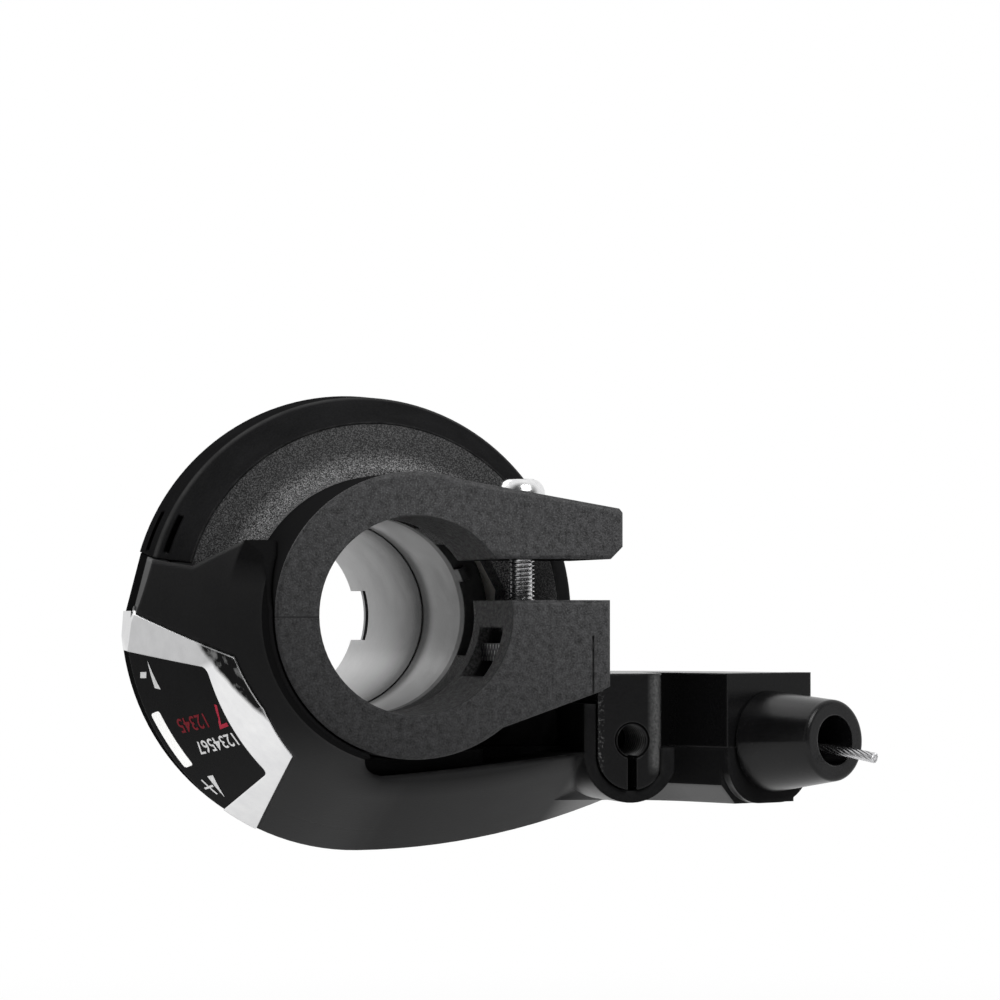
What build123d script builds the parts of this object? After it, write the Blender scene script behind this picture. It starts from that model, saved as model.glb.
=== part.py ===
# Twist grip shifter for a 22.2 mm handlebar, seen from its clamp side.
# Origin: centre of the bar bore on the clamp's inboard face. +Y runs along the bar to the grip end.
import os
from math import acos, atan, cos, degrees, hypot, pi, radians, sin, tan

from build123d import *

# Handlebar clamp
bar_diameter = 22.2
clamp_clearance = 0.05
clamp_length = 17.0
clamp_outer_radius = 16.1
clamp_edge = 0.4
slot_top = 6.35
slot_bottom = 1.72
top_jaw_reach = 24.1
top_jaw_slope_angle = 9.6
top_jaw_round = 0.4
top_jaw_chamfer = 1.4
low_jaw_reach = 22.6
low_jaw_slope_angle = 19.2
low_jaw_chamfer = 1.3
end_groove_width = 0.25
end_groove_depth = 0.35
end_groove_drop = 4.0
end_groove_inset = 2.1
relief_gap = 1.1
relief_from_angle = -24.0
relief_to_angle = 104.0
window_depth = 3.3
window_to_angle = 46.0
top_notch_from_angle = 62.0
top_notch_depth = 1.6

# Clamp bolt and captive nut plate
bolt_x = 14.6
bolt_y = 9.0
bolt_radius = 1.5
bolt_hole_clearance = 0.25
bolt_head_radius = 2.75
bolt_head_height = 2.9
bolt_head_round = 0.9
bolt_head_seat = 12.7
bolt_tip = -6.6
bolt_tip_room = 1.0
hex_across_flats = 2.5
hex_depth = 1.6
spot_face_clearance = 0.5
nut_length = 10.0
nut_width = 6.9
nut_thickness = 2.0
nut_top = -3.2
nut_clearance = 0.05
nut_mouth_height = 5.6
nut_mouth_top = -1.4
nut_mouth_depth = 1.3

# Base flange of the bracket
flange_step = 2.25
flange_edge_y = 20.45
flange_back = 22.5
flange_fillet = 3.5

# Bearing sleeve over the bar
sleeve_bar_clearance = 0.4
sleeve_wall = 1.1
sleeve_end = 79.0
sleeve_collar_radius = 14.2
sleeve_collar_length = 1.5
sleeve_groove_y = 40.0
sleeve_groove_width = 3.0
sleeve_groove_depth = 0.12
end_notch_width = 6.4
end_notch_depth = 8.0
end_notch_count = 4
key_width = 1.6
key_length = 1.9
key_angle = 24.0
key_wall = 0.8

# Grip core, the rotating drum and tube
bearing_clearance = 0.06
washer_thickness = 0.5
washer_radius = 16.4
face_clearance = 0.05
core_wall = 1.9
core_end = 74.4
drum_radius = 18.2
drum_width = 4.6
wire_wrap_radius = 15.3
groove_clearance = 0.15
detent_radius = 17.6
detent_width = 1.9
detent_hub_gap = 0.3
detent_step_angle = 11.0
gear_count = 7
detent_notch_radius = 1.1
skirt_outer_radius = 23.5
skirt_wall = 1.1
skirt_gap = 0.6
indicator_thickness = 0.45
indicator_width = 3.2
grip_disc_step = 0.68
grip_disc_thickness = 2.2
grip_disc_gap = 0.45

# Rubber grip
rubber_front_radius = 19.4
rubber_end_radius = 17.6
rubber_rib_count = 28
rubber_rib_radius = 1.4
rubber_rib_depth = 1.1
rubber_rib_margin = 4.0
rubber_lip = 2.6

# Retaining ring and end washer
ring_thickness = 1.0
ring_radial = 2.2
ring_groove_depth = 0.55
ring_gap_width = 5.0
end_washer_thickness = 0.6
end_washer_radius = 16.2

# Shroud over the drum, upper half
shroud_front_lip = 0.25
shroud_front_y = 20.7
shroud_skirt_gap = 0.69
shroud_crease_y = 26.7
shroud_flare = 0.54
housing_back = 33.9
shroud_wall = 1.55
shroud_seat_clearance = 0.05
snap_slot_depth = 0.9
snap_slot_from_angle = 152.0
snap_slot_to_angle = 163.0
front_snap_y = 24.55
front_snap_width = 0.45
back_snap_y = 30.1
back_snap_width = 0.6

# Display cover, lower half
cover_lip_y = 0.7
cover_lip_wall = 0.45
cover_front_y = 3.6
cover_front_wall = 0.65
cover_rim_wall = 3.21
cover_rim_y = 28.7
cover_rim_fall = 0.36
drum_room = 0.6
cover_clamp_clearance = 0.2
cover_flange_clearance = 0.1
top_edge_back = 7.4
top_edge_low_y = 17.3
top_edge_low = 5.6
top_edge_peak_y = 9.5
top_edge_peak = 8.5
top_edge_brow_y = 5.6
top_edge_brow = 6.8
top_edge_front = 4.2
top_edge_lip = 0.5
cover_split_gap = 0.12
cover_flat_angle = 165.5
cover_flat_step = 0.17
cover_side_angle = 176.0
cover_side_step = 0.7
belly_radius = 85.0
belly_corner = 6.0
jaw_recess_left = -5.3
jaw_recess_room = 2.3
jaw_recess_angle = 5.6
jaw_recess_corner = 3.0
recess_shelf_x = 10.4
recess_shelf_y = 9.0
recess_post_round = 1.5

# Display on the cover
display_angle = -146.1
display_y = 18.0
display_depth = 0.9
bezel_proud = 0.15
bezel_front = -9.4
bezel_slant = 0.6
bezel_bulge = 1.4
bezel_half_width = 6.6
bezel_top_angle = 25.7
bezel_low_angle = 21.2
bezel_back = 15.5
panel_front = -3.3
panel_slant = 0.9
panel_half_width = 7.1
panel_shift = 0.33
panel_top_angle = 19.1
panel_low_angle = 10.5
panel_corner = 1.2
window_front = 8.8
window_width = 1.9
window_length = 7.5
window_offset = -0.6
window_corner = 0.4

# Cable arm, boss and end block
wire_radius = 0.6
nose_axis_angle = -64.0
nose_face_x = 44.83
nose_face_y = 9.5
bend_radius = 18.0
arm_top = -6.7
arm_bottom = -21.85
arm_front_width = 6.9
arm_back_width = 5.0
arm_chamfer = 2.2
jaw_arm_gap = 0.4
boss_x = 27.6
boss_half_width = 4.1
boss_front = 8.0
boss_bottom = -20.1
boss_round = 2.2
boss_root = 1.6
cover_boss_gap = 0.15
boss_lip_wall = 1.35
boss_lip_step = 0.5
boss_lip_top = -10.2
port_radius = 2.1
port_depth = 9.0
port_z = -14.4
port_slit_width = 1.1
port_slit_length = 4.6
port_slit_depth = 4.0
block_half_width = 6.9
block_corner = 5.2
block_depth = 3.2
block_overlap = 1.0

# Liner and nose
liner_radius = 1.4
liner_bore_radius = 0.85
liner_clearance = 0.05
liner_set_back = 1.5
liner_end_gap = 0.5
nose_base_radius = 5.9
nose_tip_radius = 4.65
nose_length = 10.2
nose_drop = 0.6
nose_hole_radius = 2.9
nose_hole_depth = 8.0
nose_through_radius = 1.75
nose_spigot_radius = 4.0
nose_spigot_length = 2.2
nose_tilt_angle = -2.0
nose_edge = 0.5
nose_seat_gap = 0.4

# Wire end and nipple
wire_mouth_shift = 0.7
wire_stub = 5.0
wire_stub_angle = -50.0
wire_droop_ratio = 0.2
nipple_radius = 1.95
nipple_length = 4.2
nipple_angle = -112.0
nipple_clearance = 0.1

# Detent leaf spring
spring_angle = 100.0
spring_thickness = 0.45
spring_half_length = 7.6
spring_rest_gap = 1.0
spring_bump_half = 1.9
spring_tip_gap = 0.15
peg_radius = 0.75
peg_inset = 0.6
peg_extra = 0.4

# Cuts run past the faces they open by this much
overcut = 1.0

# Derived sizes
bar_radius = bar_diameter / 2
bore_radius = bar_radius + clamp_clearance
sleeve_bore = bar_radius + sleeve_bar_clearance
sleeve_radius = sleeve_bore + sleeve_wall
collar_back = flange_back + sleeve_collar_length
washer_front = collar_back + face_clearance
core_front = washer_front + washer_thickness + face_clearance
core_bore = sleeve_radius + bearing_clearance
core_radius = core_bore + core_wall
drum_back = core_front + drum_width
wire_plane_y = core_front + drum_width / 2
detent_front = drum_back + detent_hub_gap
detent_back = detent_front + detent_width
groove_radius = wire_radius + groove_clearance
chamber_radius = skirt_outer_radius + indicator_thickness + drum_room
flange_edge_radius = chamber_radius - flange_step
relief_back = clamp_length + relief_gap
flange_tilt = atan((flange_edge_y - relief_back) / (flange_edge_radius - clamp_outer_radius))
fillet_reach = flange_fillet * tan((pi / 2 - flange_tilt) / 2)
shroud_front_radius = flange_edge_radius + shroud_front_lip
shroud_crease_radius = skirt_outer_radius + shroud_skirt_gap + shroud_wall
housing_back_radius = shroud_crease_radius + shroud_flare
grip_disc_radius = housing_back_radius - grip_disc_step
cover_lip_radius = clamp_outer_radius + cover_clamp_clearance + cover_lip_wall
cover_front_radius = clamp_outer_radius + cover_clamp_clearance + cover_front_wall
cover_rim_radius = chamber_radius + cover_rim_wall
cover_back_radius = cover_rim_radius - cover_rim_fall
jaw_recess_floor = -clamp_outer_radius - jaw_recess_room
clear_reach = 8 * cover_rim_radius
skirt_front = wire_plane_y + wire_radius + skirt_gap
disc_front = housing_back + grip_disc_gap
disc_back = disc_front + grip_disc_thickness
end_washer_front = core_end + face_clearance
ring_front = end_washer_front + end_washer_thickness + face_clearance
nose_direction = Vector(cos(radians(nose_axis_angle)), sin(radians(nose_axis_angle)), 0)
nose_side = Vector(-nose_direction.Y, nose_direction.X, 0)
wire_z = -wire_wrap_radius
cover_slope = (cover_rim_radius - cover_front_radius) / (cover_rim_y - cover_front_y)


def prism(sketch, y0, y1):
    """Sketch drawn in X and Z, run along the bar from y0 to y1."""
    return extrude(Plane.XZ.offset(-y0) * sketch, amount=y1 - y0, dir=(0, 1, 0))


def slab(sketch, z0, z1):
    """Sketch drawn in X and Y, run upward from z0 to z1."""
    return extrude(Plane.XY.offset(z0) * sketch, amount=z1 - z0)


def turned(points):
    """Closed outline of (radius, y) points turned about the bar axis."""
    return revolve(Polygon(*points, align=None), axis=Axis.Y)


def tube(outer, inner, y0, y1):
    return turned([(inner, y0), (outer, y0), (outer, y1), (inner, y1)])


def wedge(a0, a1, reach, y0, y1):
    """Pie slice about the bar axis between two angles, measured from +X toward +Z."""
    steps = max(1, round((a1 - a0) / 45))
    turn = radians(a1 - a0) / steps
    far = reach / cos(turn / 2)
    rim = [(far * cos(radians(a0) + turn * i), far * sin(radians(a0) + turn * i)) for i in range(steps + 1)]
    return prism(Polygon((0, 0), *rim, align=None), y0, y1)


def upright(radius, x, y, z0, z1):
    """Cylinder along Z."""
    return Pos(x, y, z0) * Cylinder(radius, z1 - z0, align=(Align.CENTER, Align.CENTER, Align.MIN))


def polar(radius, angle, y):
    return Vector(radius * cos(radians(angle)), y, radius * sin(radians(angle)))


def rounded_path(points, radii):
    """Straight runs between points, joined by tangent arcs of the given radii."""
    edges = []
    start = points[0]
    for before, corner, after, radius in zip(points, points[1:], points[2:], radii):
        back = (before - corner).normalized()
        ahead = (after - corner).normalized()
        half = radians(back.get_angle(ahead)) / 2
        into = corner + back * (radius / tan(half))
        out = corner + ahead * (radius / tan(half))
        bisector = (back + ahead).normalized()
        middle = corner + bisector * (radius / sin(half) - radius)
        edges += [Line(start, into), ThreePointArc(into, middle, out)]
        start = out
    return edges + [Line(start, points[-1])]


def round_bar(edges, radius):
    """Round section carried along a chain of edges."""
    path = Wire(edges)
    return sweep(Plane(origin=path @ 0, z_dir=path % 0) * Circle(radius), path=path)


def arm_corner():
    """Point where the wire's run off the drum meets the nose axis."""
    travel = (wire_plane_y - nose_face_y) / -nose_direction.Y
    return Vector(nose_face_x - nose_direction.X * travel, wire_plane_y, wire_z)


def cable_route(start_x, end):
    """Route at the wire's own height from start_x round the bend to the end point."""
    start = Vector(start_x, wire_plane_y, wire_z)
    return rounded_path([start, arm_corner(), end], [bend_radius])


def face_point(offset=0.0, z=None):
    """Point on the nose axis, offset outward from the end block's face."""
    return Vector(nose_face_x, nose_face_y, wire_z if z is None else z) + nose_direction * offset


def clamp_outline():
    """Split clamp seen along the bar: a band with two flat jaws."""
    r = clamp_outer_radius
    top_fall = tan(radians(top_jaw_slope_angle))
    low_rise = tan(radians(low_jaw_slope_angle))
    top_corner = top_jaw_reach - top_jaw_round
    low_corner = low_jaw_reach - low_jaw_chamfer
    top = Polygon((0, slot_top), (top_jaw_reach - top_jaw_chamfer, slot_top),
                  (top_jaw_reach, slot_top + top_jaw_chamfer),
                  (top_jaw_reach, r - top_jaw_reach * top_fall - top_jaw_round),
                  (top_corner, r - top_corner * top_fall), (0, r), align=None)
    low_edge = low_corner * low_rise - r
    low = Polygon((0, -r), (low_corner, low_edge), (low_jaw_reach, low_edge + low_jaw_chamfer / 2),
                  (low_jaw_reach, slot_bottom), (0, slot_bottom), align=None)
    slot_middle = (slot_top + slot_bottom) / 2
    slot = Pos(top_jaw_reach, slot_middle) * Rectangle(2 * top_jaw_reach, slot_top - slot_bottom)
    return Circle(r) + top + low - slot - Circle(bore_radius)


def nut_pocket():
    """Slot for the nut plate with a taller mouth where it opens into the bore."""
    slot_height = nut_thickness + 2 * nut_clearance
    slot = Box(nut_width + 2 * nut_clearance, nut_length + 2 * nut_clearance, slot_height)
    mouth = Box(bolt_x, nut_length + 2 * nut_clearance, nut_mouth_height,
                align=(Align.MAX, Align.CENTER, Align.MAX))
    inner_x = bolt_x - nut_width / 2
    return Pos(bolt_x, bolt_y, nut_top - nut_thickness / 2) * slot + \
        Pos(inner_x + nut_mouth_depth, bolt_y, nut_mouth_top) * mouth


def clamp_band():
    """Band and jaws with the bolt hole, spot face and nut pocket."""
    band = prism(clamp_outline(), 0, clamp_length)
    front = band.faces().sort_by(Axis.Y)[0]
    bore = front.edges().filter_by(GeomType.CIRCLE).sort_by(SortBy.RADIUS)[0]
    band = chamfer(front.edges() - [bore], clamp_edge)
    hole_radius = bolt_radius + bolt_hole_clearance
    band -= upright(hole_radius, bolt_x, bolt_y, bolt_tip - bolt_tip_room, clamp_outer_radius)
    spot_radius = bolt_head_radius + spot_face_clearance
    band -= upright(spot_radius, bolt_x, bolt_y, bolt_head_seat, clamp_outer_radius)
    band -= nut_pocket()
    groove_x = low_jaw_reach - end_groove_inset
    groove = Box(end_groove_width, 2 * end_groove_depth, 2 * clamp_outer_radius,
                 align=(Align.CENTER, Align.CENTER, Align.MAX))
    return band - Pos(groove_x, 0, slot_bottom - end_groove_drop) * groove


def base_flange():
    """Conical base plate that sweeps out of the clamp, with the relief that lets the jaws close."""
    root = clamp_length - flange_fillet
    inside = clamp_outer_radius - overcut
    outline = Polygon((sleeve_bore, clamp_length), (inside, clamp_length), (inside, root),
                      (clamp_outer_radius, root), (clamp_outer_radius, relief_back),
                      (flange_edge_radius, flange_edge_y), (flange_edge_radius, flange_back),
                      (sleeve_bore, flange_back), align=None)
    corner = outline.vertices().sort_by_distance((clamp_outer_radius, relief_back))[:1]
    plate = revolve(fillet(corner, flange_fillet), axis=Axis.Y)
    plate -= wedge(relief_from_angle, relief_to_angle, 2 * clamp_outer_radius, root, relief_back)
    window = wedge(relief_from_angle, window_to_angle, sleeve_bore + window_depth, clamp_length, flange_back)
    notch = wedge(top_notch_from_angle, relief_to_angle, sleeve_bore + top_notch_depth,
                  clamp_length, flange_back)
    return plate - window - notch


def spring_point(along, out, y=0.0):
    """Point beside the detent rim: along the tangent and out along the radius."""
    radial = polar(1, spring_angle, 0)
    tangent = polar(1, spring_angle - 90, 0)
    return radial * out + tangent * along + Vector(0, y, 0)


def spring_pegs():
    """Two pegs on the flange that back the leaf spring's ends."""
    out = detent_radius + spring_rest_gap + spring_thickness + peg_radius
    length = detent_back + peg_extra - flange_back
    pegs = Part()
    for side in (-1, 1):
        foot = spring_point(side * (spring_half_length - peg_inset), out, flange_back)
        pegs += Solid.make_cylinder(peg_radius, length, Plane(foot, z_dir=(0, 1, 0)))
    return pegs


def arm_beam():
    """Curved beam along the wire's route, flat on top, before it is split at the wire's height."""
    corner = arm_corner()
    half = radians(-nose_axis_angle) / 2
    reach = bend_radius * tan(half)
    start = Vector(0, wire_plane_y)
    bend_in = Vector(corner.X - reach, wire_plane_y)
    centre = bend_in - Vector(0, bend_radius)
    end = Vector(nose_face_x, nose_face_y) - nose_direction * block_overlap

    def edge_line(offset):
        radius = bend_radius + offset
        turn = 2 * half
        out = centre + Vector(sin(turn), cos(turn)) * radius
        middle = centre + Vector(sin(half), cos(half)) * radius
        near = start + Vector(0, offset)
        return [Line(near, bend_in + Vector(0, offset)),
                ThreePointArc(bend_in + Vector(0, offset), middle, out),
                Line(out, end + nose_side * offset)]

    front = edge_line(-arm_front_width)
    back = edge_line(arm_back_width)
    ends = [Line(front[0] @ 0, back[0] @ 0), Line(front[2] @ 1, back[2] @ 1)]
    plan = make_face(Wire.combine(front + back + ends)[0])
    beam = slab(plan, arm_bottom, arm_top)
    under = beam.faces().sort_by(Axis.Z)[0].edges()
    drop = Vector(0, 0, arm_bottom)
    marks = [line @ 0.5 + drop for line in front]
    rim = [edge for edge in under if min((edge @ 0.5 - mark).length for mark in marks) < arm_chamfer]
    return chamfer(rim, arm_chamfer)


def boss(grow=0.0):
    """Upright boss on the arm with a round foot and a rounded right front corner."""
    half = boss_half_width + grow
    foot_z = boss_bottom + boss_half_width
    foot = Pos(boss_x, foot_z) * Circle(half)
    stem = Pos(boss_x, (arm_top + foot_z) / 2) * Rectangle(2 * half, arm_top - foot_z)
    front = boss_front - grow
    back = wire_plane_y - arm_front_width + boss_root
    plan = Pos(boss_x, (front + back) / 2) * Rectangle(2 * half, back - front)
    plan = fillet(plan.vertices().sort_by(Axis.Y)[:2].sort_by(Axis.X)[-1:], boss_round + grow)
    return prism(foot + stem, front, back) & slab(plan, -clear_reach, clear_reach)


def boss_lip():
    """Cover wall that wraps the boss's foot, taller on its left side."""
    front = boss_front + boss_lip_step
    wall = boss(cover_boss_gap + boss_lip_wall)
    wall &= prism(Rectangle(clear_reach, clear_reach), front, wire_plane_y - arm_front_width)
    left = corner_box(Align.MAX, Align.MAX, boss_x, boss_lip_top)
    right = corner_box(Align.MIN, Align.MAX, boss_x, wire_z)
    return wall & (left + right)


def corner_box(x_align, z_align, x, z):
    """Large block whose corner line runs along the bar at x and z."""
    return Pos(x, 0, z) * Box(clear_reach, clear_reach, clear_reach, align=(x_align, Align.CENTER, z_align))


def under_wire():
    """Everything below the height of the wire, where the arm is split."""
    return corner_box(Align.CENTER, Align.MAX, 0, wire_z)


def end_block():
    """Block with rounded lower corners that faces along the nose."""
    height = arm_top - arm_bottom
    plane = Plane(face_point(z=(arm_top + arm_bottom) / 2), x_dir=nose_side, z_dir=nose_direction)
    shape = Rectangle(2 * block_half_width, height)
    shape = fillet(shape.vertices().sort_by(Axis.Y)[:2], block_corner)
    return extrude(plane * shape, amount=-block_depth)


def cable_tunnel():
    """Path for the liner through the arm and out of the block."""
    return round_bar(cable_route(0, face_point(nose_spigot_length)), liner_radius + liner_clearance)


def tapped_port():
    """Threaded hole in the boss with the split below it."""
    hole = Solid.make_cylinder(port_radius, port_depth, Plane((boss_x, boss_front, port_z), z_dir=(0, 1, 0)))
    slit = Box(port_slit_width, 2 * port_slit_depth, port_slit_length,
               align=(Align.CENTER, Align.CENTER, Align.MAX))
    return hole + Pos(boss_x, boss_front, port_z - port_radius + port_slit_width / 2) * slit


def nose_plane():
    """Base of the nose, which stands on the block's face and leans a little."""
    tilt = radians(nose_tilt_angle)
    axis = nose_direction * cos(tilt) - Vector(0, 0, sin(tilt))
    return Plane(face_point(nose_seat_gap, wire_z + nose_drop), z_dir=axis)


def nose_spigot(grow=0.0):
    """Round tail of the nose, and its seat in the block."""
    length = nose_seat_gap + nose_spigot_length + grow
    return extrude(nose_plane() * Circle(nose_spigot_radius + grow), amount=-length)


def chamber():
    """Room for the drum between the flange and the grip disc."""
    return tube(chamber_radius, 0, flange_back, disc_back)


def make_clamp_bracket():
    """One moulding: clamp, base flange, boss and upper half of the cable arm and its end block."""
    arm = arm_beam() + end_block() - under_wire() + boss()
    arm -= tube(clamp_outer_radius, 0, -overcut, flange_back)
    arm -= chamber()
    arm -= cable_tunnel()
    arm -= tapped_port()
    arm -= nose_spigot(liner_clearance)
    jaw_room = Rectangle(2 * (low_jaw_reach + jaw_arm_gap), clear_reach)
    arm -= prism(jaw_room, -overcut, relief_back)
    return clamp_band() + base_flange() + spring_pegs() + arm


def make_bearing_sleeve():
    """Sleeve that the grip turns on, slotted into four snap fingers at its far end."""
    sleeve = tube(sleeve_radius, sleeve_bore, flange_back, sleeve_end)
    sleeve += tube(sleeve_collar_radius, sleeve_bore, flange_back, collar_back)
    key = tube(sleeve_bore + key_wall, sleeve_bore, flange_back - key_length, flange_back)
    half_key = key_width / sleeve_bore * 90 / pi
    sleeve += key & wedge(key_angle - half_key, key_angle + half_key, sleeve_collar_radius, 0, sleeve_end)
    sleeve -= tube(sleeve_bore + sleeve_groove_depth, 0,
                   sleeve_groove_y, sleeve_groove_y + sleeve_groove_width)
    notch = Box(2 * sleeve_radius, 2 * end_notch_depth, end_notch_width,
                align=(Align.MIN, Align.CENTER, Align.CENTER))
    for i in range(end_notch_count):
        sleeve -= Rot(0, i * 360 / end_notch_count, 0) * (Pos(0, sleeve_end, 0) * notch)
    groove = tube(sleeve_radius + ring_radial, sleeve_radius - ring_groove_depth,
                  ring_front - face_clearance, ring_front + ring_thickness + face_clearance)
    return sleeve - groove


def make_thrust_washer():
    """Slide washer between the sleeve's collar and the drum."""
    return tube(washer_radius, sleeve_radius + bearing_clearance,
                washer_front, washer_front + washer_thickness)


def make_end_washer():
    """Slide washer between the grip's end and the retaining ring."""
    return tube(end_washer_radius, sleeve_radius + bearing_clearance,
                end_washer_front, end_washer_front + end_washer_thickness)


def make_retaining_ring():
    """Open ring that snaps into the sleeve's groove and keeps the grip on."""
    inner = sleeve_radius - ring_groove_depth + face_clearance
    ring = tube(inner + ring_radial, inner, ring_front, ring_front + ring_thickness)
    gap = Box(2 * sleeve_radius, ring_thickness, ring_gap_width, align=(Align.MAX, Align.MIN, Align.CENTER))
    return ring - Pos(0, ring_front, 0) * gap


def nipple_tangent():
    return polar(1, nipple_angle + 90, 0)


def nipple_body(grow=0.0):
    """Barrel head on the wire's end, set along the drum groove."""
    front = polar(wire_wrap_radius, nipple_angle, wire_plane_y) + nipple_tangent() * grow
    plane = Plane(front, z_dir=nipple_tangent() * -1)
    return Solid.make_cylinder(nipple_radius + grow, nipple_length + 2 * grow, plane)


def make_cable_nipple():
    return nipple_body()


def make_grip_core():
    """One moulding: bearing tube, cable drum, detent rim, indicator skirt and end disc."""
    core = tube(core_radius, core_bore, core_front, core_end)
    drum = tube(drum_radius, core_bore, core_front, drum_back)
    groove = tube(drum_radius, wire_wrap_radius, wire_plane_y - groove_radius, wire_plane_y + groove_radius)
    groove += revolve(Pos(wire_wrap_radius, wire_plane_y) * Circle(groove_radius), axis=Axis.Y)
    drum -= groove
    rim = tube(detent_radius, core_bore, detent_front, detent_back)
    for i in range(gear_count):
        place = polar(detent_radius, spring_angle + i * detent_step_angle, detent_front)
        rim -= Solid.make_cylinder(detent_notch_radius, detent_width, Plane(place, z_dir=(0, 1, 0)))
    disc = tube(grip_disc_radius, core_bore, disc_front, disc_back)
    skirt = tube(skirt_outer_radius, skirt_outer_radius - skirt_wall, skirt_front, disc_front)
    pocket = nipple_body(nipple_clearance)
    outward = polar(1, nipple_angle, 0)
    for step in range(1, 4):
        pocket += Pos(outward * (step * nipple_radius / 2)) * nipple_body(nipple_clearance)
    return core + drum + rim + disc + skirt - pocket


def make_indicator_band():
    """Pale band on the drum's skirt that passes under the display window."""
    front = skirt_front + indicator_thickness
    band = tube(skirt_outer_radius + indicator_thickness, skirt_outer_radius, front, front + indicator_width)
    spread = (gear_count - 1) * detent_step_angle
    margin = window_length / cover_rim_radius * 180 / pi
    return band & wedge(display_angle - margin, display_angle + spread + margin, 2 * skirt_outer_radius,
                        0, housing_back)


def make_grip_rubber():
    """Fluted rubber sleeve moulded over the grip core, tapering to a soft end lip."""
    lip_y = core_end - rubber_lip
    body = turned([(core_radius, disc_back), (rubber_front_radius, disc_back), (rubber_end_radius, lip_y),
                   (rubber_end_radius - rubber_lip / 2, core_end), (core_radius, core_end)])
    taper = (rubber_front_radius - rubber_end_radius) / (lip_y - disc_back)
    start = disc_back + rubber_rib_margin
    length = lip_y - rubber_rib_margin - start
    radius = rubber_front_radius - taper * rubber_rib_margin + rubber_rib_radius - rubber_rib_depth
    for i in range(rubber_rib_count):
        angle = i * 360 / rubber_rib_count
        along = Vector(0, 1, 0) - polar(taper, angle, 0)
        place = polar(radius, angle, start)
        body -= Solid.make_cylinder(rubber_rib_radius, length, Plane(place, z_dir=along))
    return body


def top_edge(y):
    """Height of the cover's left top edge over the drum, where the shroud meets it."""
    rise = (top_edge_back - top_edge_low) / (housing_back - top_edge_low_y)
    return top_edge_low + (y - top_edge_low_y) * rise


def across_left(points):
    """Outline of (y, z) points run across the whole left side."""
    return extrude(Plane.YZ * Polygon(*points, align=None), amount=clear_reach, dir=(-1, 0, 0))


def shroud_radius(y):
    """Outside radius of the shroud's cone or skirt."""
    if y < shroud_crease_y:
        share = (y - shroud_front_y) / (shroud_crease_y - shroud_front_y)
        return shroud_front_radius + (shroud_crease_radius - shroud_front_radius) * share
    return shroud_crease_radius + shroud_flare * (y - shroud_crease_y) / (housing_back - shroud_crease_y)


def make_drum_shroud():
    """Upper cover: a cone and skirt over the drum, with two snap slots at its left end."""
    seat = flange_edge_radius + shroud_seat_clearance
    shell = turned([(seat, shroud_front_y), (shroud_front_radius, shroud_front_y),
                    (shroud_crease_radius, shroud_crease_y), (housing_back_radius, housing_back),
                    (housing_back_radius - shroud_wall, housing_back),
                    (shroud_crease_radius - shroud_wall, shroud_crease_y), (seat, flange_back)])
    far_y = housing_back + overcut
    shell -= across_left([(0, top_edge(0) + cover_split_gap), (far_y, top_edge(far_y) + cover_split_gap),
                          (far_y, -clear_reach), (0, -clear_reach)])
    shell -= corner_box(Align.MIN, Align.MAX, 0, arm_top)
    for place, width in ((front_snap_y, front_snap_width), (back_snap_y, back_snap_width)):
        far = 2 * housing_back_radius
        ring = tube(far, shroud_radius(place) - snap_slot_depth, place, place + width)
        shell -= ring & wedge(snap_slot_from_angle, snap_slot_to_angle, far, place, place + width)
    return shell


def cover_form(offset=0.0):
    """Full outline of the display cover, grown along its surface by an offset."""
    grow = offset * hypot(1, cover_slope)
    form = turned([(0, cover_lip_y), (cover_lip_radius + grow, cover_lip_y),
                   (cover_front_radius + grow, cover_front_y), (cover_rim_radius + grow, cover_rim_y),
                   (cover_back_radius + grow, housing_back), (0, housing_back)])
    for angle, reach in ((cover_flat_angle, housing_back_radius - cover_flat_step),
                         (cover_side_angle, cover_rim_radius - cover_side_step)):
        outward = polar(1, angle, 0)
        flat = Plane(outward * (reach + offset), z_dir=outward)
        form -= extrude(flat * Rectangle(clear_reach, clear_reach), amount=clear_reach)
    return form


def cover_belly():
    """Underside that runs in a long arc from the cover's lowest line to the cable arm."""
    outline = Polygon((0, cover_front_y), (cover_front_radius, cover_front_y),
                      (cover_rim_radius, cover_rim_y), (cover_back_radius, housing_back), (0, housing_back),
                      align=None)
    section = Plane((0, 0, 0), x_dir=(0, 0, -1), z_dir=(1, 0, 0)) * outline
    pivot = Axis((0, 0, belly_radius - cover_rim_radius), (0, -1, 0))
    turn = acos(1 - (cover_rim_radius + arm_bottom) / belly_radius)
    belly = revolve(section, axis=pivot, revolution_arc=degrees(turn))
    end_x = belly_radius * sin(turn)
    plan = Pos(end_x / 2, housing_back / 2) * Rectangle(end_x, housing_back)
    plan = fillet(plan.vertices().sort_by_distance((end_x, housing_back))[:1], belly_corner)
    return belly & slab(plan, -clear_reach, 0)


def above_cover():
    """Everything above the cover's top edge on the left and above the wire on the right."""
    far_y = housing_back + overcut
    edge = [(far_y, top_edge(far_y)), (top_edge_low_y, top_edge_low), (top_edge_peak_y, top_edge_peak),
            (top_edge_brow_y, top_edge_brow), (cover_front_y, top_edge_front), (cover_lip_y, top_edge_lip),
            (0, top_edge_lip)]
    left = across_left(edge + [(0, clear_reach), (far_y, clear_reach)])
    return left + corner_box(Align.MIN, Align.MIN, 0, wire_z)


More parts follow.
